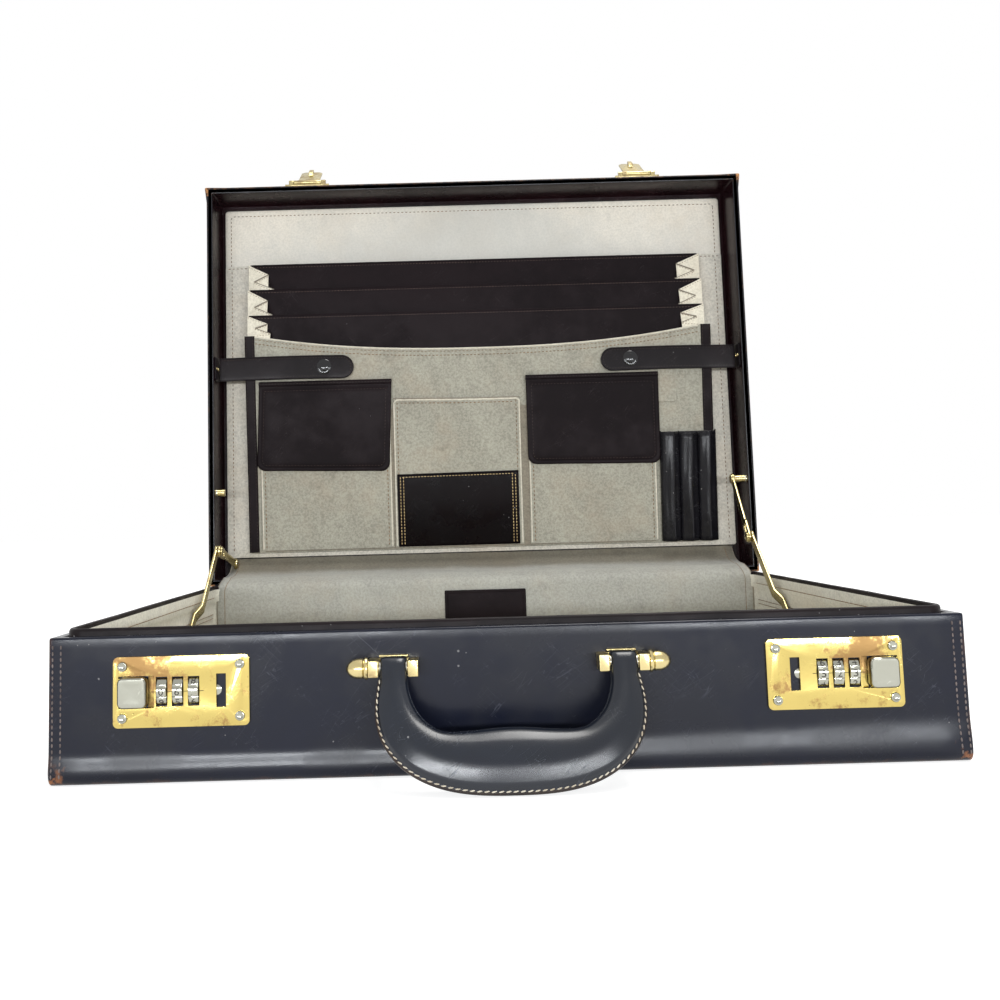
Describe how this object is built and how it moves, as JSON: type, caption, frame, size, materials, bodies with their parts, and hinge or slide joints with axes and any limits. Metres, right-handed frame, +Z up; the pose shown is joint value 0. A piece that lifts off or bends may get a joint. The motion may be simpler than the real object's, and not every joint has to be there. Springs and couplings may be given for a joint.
{
  "type": "attache case",
  "caption": "Hard leather attache case, standing open, with an expanding file in its lid, dial locks with sprung hasps, a padded handle and folding lid stays.",
  "frame": {"origin": "middle of the tray's underside, where the case stands", "axes": "+X right along the case, +Y from the front wall towards the hinge, +Z up"},
  "size_m": [0.45, 0.4241, 0.4356],
  "materials": {
    "hide": "polished smooth hide, worn at the corners",
    "lip_leather": "thin leather over a stiff lip",
    "soft_leather": "soft satin leather",
    "lid_lining": "glossy dark leather",
    "suede": "brushed suede cloth",
    "board": "bare fibreboard, covered on both sides",
    "brass": "plated, dulled by handling",
    "steel": "bright steel"
  },
  "bodies": {
    "tray": {"tray_frame": "board", "tray_cover": "hide", "tray_end_panels": "hide", "tray_lip": "lip_leather", "tray_lining": "suede", "tray_floor_lining": "suede", "leather_patch": "hide", "hinge_leaf_lower": "brass", "hinge_pin": "steel", "lock_plates": "brass", "lock_cases": "steel", "lock_screws": "steel", "dial_axles": "steel", "button_spring_left": "steel", "button_spring_right": "steel", "handle_mounts": "brass", "handle_pins": "brass", "stay_tray_rivets": "brass"},
    "lid": {"lid_frame": "board", "lid_cover": "hide", "lid_end_panels": "hide", "lid_lining": "lid_lining", "organiser_board": "suede", "file_backing": "suede", "hinge_gusset": "suede", "hinge_leaf_upper": "brass", "hasp_bases": "brass", "strap_anchors": "soft_leather", "stay_lid_studs": "brass", "file_gussets": "suede"},
    "handle": {"handle_grip": "hide", "handle_core": "steel"},
    "file_front": {"file_front_panel": "suede", "file_pockets": "suede", "card_pocket": "soft_leather", "pen_holder": "soft_leather", "flap_hems": "soft_leather"},
    "hasp_left": {"hasp_left": "brass"},
    "hasp_right": {"hasp_right": "brass"},
    "lock_button_left": {"lock_button_left": "steel"},
    "lock_button_right": {"lock_button_right": "steel"},
    "latch_left": {"latch_left": "steel"},
    "latch_right": {"latch_right": "steel"},
    "dial_left_1": {"dial_left_1": "steel"},
    "dial_left_2": {"dial_left_2": "steel"},
    "dial_left_3": {"dial_left_3": "steel"},
    "dial_right_1": {"dial_right_1": "steel"},
    "dial_right_2": {"dial_right_2": "steel"},
    "dial_right_3": {"dial_right_3": "steel"},
    "stay_arm_left": {"stay_arm_left": "brass"},
    "stay_arm_right": {"stay_arm_right": "brass"},
    "stay_link_left": {"stay_link_left": "brass"},
    "stay_link_right": {"stay_link_right": "brass"},
    "strap_left": {"strap_left": "soft_leather"},
    "strap_right": {"strap_right": "soft_leather"},
    "flap_left": {"flap_left": "soft_leather"},
    "flap_right": {"flap_right": "soft_leather"},
    "file_divider_rear": {"file_divider_rear": "soft_leather"},
    "file_divider_middle": {"file_divider_middle": "soft_leather"},
    "file_divider_front": {"file_divider_front": "soft_leather"}
  },
  "joints": [
    {"name": "lid_hinge", "type": "hinge", "parent": "tray", "child": "lid", "pos_m": [0, 0.1696, 0.0712], "axis": [1, 0, 0], "range_deg": [0, 90]},
    {"name": "handle_swing", "type": "hinge", "parent": "tray", "child": "handle", "pos_m": [0, -0.175, 0.0535], "axis": [-1, 0, 0], "range_deg": [0, 140]},
    {"name": "hasp_left_turn", "type": "hinge", "parent": "lid", "child": "hasp_left", "pos_m": [-0.14, 0.1746, 0.4116], "axis": [1, 0, 0], "range_deg": [0, 148], "stiffness_Nm_per_rad": 0.01, "springref_deg": -34.38},
    {"name": "lock_button_left_slide", "type": "slide", "parent": "tray", "child": "lock_button_left", "axis": [1, 0, 0], "range_m": [0, 0.0025], "stiffness_N_per_m": 300, "springref_m": -0.001, "deforming": ["button_spring_left"]},
    {"name": "latch_left_slide", "type": "slide", "parent": "tray", "child": "latch_left", "axis": [-1, 0, 0], "range_m": [0, 0.0025]},
    {"name": "dial_left_1_turn", "type": "hinge", "parent": "tray", "child": "dial_left_1", "pos_m": [-0.169, -0.1618, 0.0442], "axis": [1, 0, 0], "continuous": true},
    {"name": "dial_left_2_turn", "type": "hinge", "parent": "tray", "child": "dial_left_2", "pos_m": [-0.1612, -0.1618, 0.0442], "axis": [1, 0, 0], "continuous": true},
    {"name": "dial_left_3_turn", "type": "hinge", "parent": "tray", "child": "dial_left_3", "pos_m": [-0.1534, -0.1618, 0.0442], "axis": [1, 0, 0], "continuous": true},
    {"name": "stay_arm_left_turn", "type": "hinge", "parent": "tray", "child": "stay_arm_left", "pos_m": [-0.215, 0.0666, 0.0432], "axis": [1, 0, 0], "range_deg": [0, 125.24]},
    {"name": "stay_link_left_turn", "type": "hinge", "parent": "stay_arm_left", "child": "stay_link_left", "pos_m": [-0.209, 0.1386, 0.1032], "axis": [1, 0, 0], "range_deg": [-133.24, 0]},
    {"name": "strap_left_turn", "type": "hinge", "parent": "lid", "child": "strap_left", "pos_m": [-0.2176, 0.18335, 0.2542], "axis": [0, 0, 1], "range_deg": [-85, 0]},
    {"name": "flap_left_turn", "type": "hinge", "parent": "file_front", "child": "flap_left", "pos_m": [-0.129, 0.18561, 0.23951], "axis": [1, 0, 0], "range_deg": [-110, 0], "stiffness_Nm_per_rad": 0.02, "springref_deg": 11.46},
    {"name": "hasp_right_turn", "type": "hinge", "parent": "lid", "child": "hasp_right", "pos_m": [0.14, 0.1746, 0.4116], "axis": [1, 0, 0], "range_deg": [0, 148], "stiffness_Nm_per_rad": 0.01, "springref_deg": -34.38},
    {"name": "lock_button_right_slide", "type": "slide", "parent": "tray", "child": "lock_button_right", "axis": [-1, 0, 0], "range_m": [0, 0.0025], "stiffness_N_per_m": 300, "springref_m": -0.001, "deforming": ["button_spring_right"]},
    {"name": "latch_right_slide", "type": "slide", "parent": "tray", "child": "latch_right", "axis": [1, 0, 0], "range_m": [0, 0.0025]},
    {"name": "dial_right_1_turn", "type": "hinge", "parent": "tray", "child": "dial_right_1", "pos_m": [0.169, -0.1618, 0.0442], "axis": [1, 0, 0], "continuous": true},
    {"name": "dial_right_2_turn", "type": "hinge", "parent": "tray", "child": "dial_right_2", "pos_m": [0.1612, -0.1618, 0.0442], "axis": [1, 0, 0], "continuous": true},
    {"name": "dial_right_3_turn", "type": "hinge", "parent": "tray", "child": "dial_right_3", "pos_m": [0.1534, -0.1618, 0.0442], "axis": [1, 0, 0], "continuous": true},
    {"name": "stay_arm_right_turn", "type": "hinge", "parent": "tray", "child": "stay_arm_right", "pos_m": [0.215, 0.0666, 0.0432], "axis": [1, 0, 0], "range_deg": [-14.18, 0]},
    {"name": "stay_link_right_turn", "type": "hinge", "parent": "stay_arm_right", "child": "stay_link_right", "pos_m": [0.209, 0.1386, 0.1032], "axis": [1, 0, 0], "range_deg": [0, 148.35]},
    {"name": "strap_right_turn", "type": "hinge", "parent": "lid", "child": "strap_right", "pos_m": [0.2176, 0.18335, 0.2542], "axis": [0, 0, -1], "range_deg": [-85, 0]},
    {"name": "flap_right_turn", "type": "hinge", "parent": "file_front", "child": "flap_right", "pos_m": [0.0965, 0.18561, 0.23951], "axis": [1, 0, 0], "range_deg": [-110, 0], "stiffness_Nm_per_rad": 0.02, "springref_deg": 11.46},
    {"name": "file_front_turn", "type": "hinge", "parent": "lid", "child": "file_front", "pos_m": [0, 0.1997, 0.0992], "axis": [-1, 0, 0], "range_deg": [0, 4.7], "deforming": ["file_gussets"]},
    {"name": "file_divider_rear_turn", "type": "hinge", "parent": "lid", "child": "file_divider_rear", "pos_m": [0, 0.203, 0.0992], "axis": [-1, 0, 0], "range_deg": [0, 1.23]},
    {"name": "file_divider_middle_turn", "type": "hinge", "parent": "lid", "child": "file_divider_middle", "pos_m": [0, 0.202, 0.0992], "axis": [-1, 0, 0], "range_deg": [0, 2.4]},
    {"name": "file_divider_front_turn", "type": "hinge", "parent": "lid", "child": "file_divider_front", "pos_m": [0, 0.201, 0.0992], "axis": [-1, 0, 0], "range_deg": [0, 3.58]}
  ],
  "couplings": [
    {"joint": "latch_left_slide", "follows": "lock_button_left_slide", "ratio": 1},
    {"joint": "stay_arm_left_turn", "follows": "lid_hinge", "ratio": 1.391},
    {"joint": "stay_link_left_turn", "follows": "lid_hinge", "ratio": -1.4799},
    {"joint": "latch_right_slide", "follows": "lock_button_right_slide", "ratio": 1},
    {"joint": "stay_arm_right_turn", "follows": "lid_hinge", "ratio": -0.15699},
    {"joint": "stay_link_right_turn", "follows": "lid_hinge", "ratio": 1.6478},
    {"joint": "file_divider_rear_turn", "follows": "file_front_turn", "ratio": 0.25},
    {"joint": "file_divider_middle_turn", "follows": "file_front_turn", "ratio": 0.5},
    {"joint": "file_divider_front_turn", "follows": "file_front_turn", "ratio": 0.75}
  ]
}
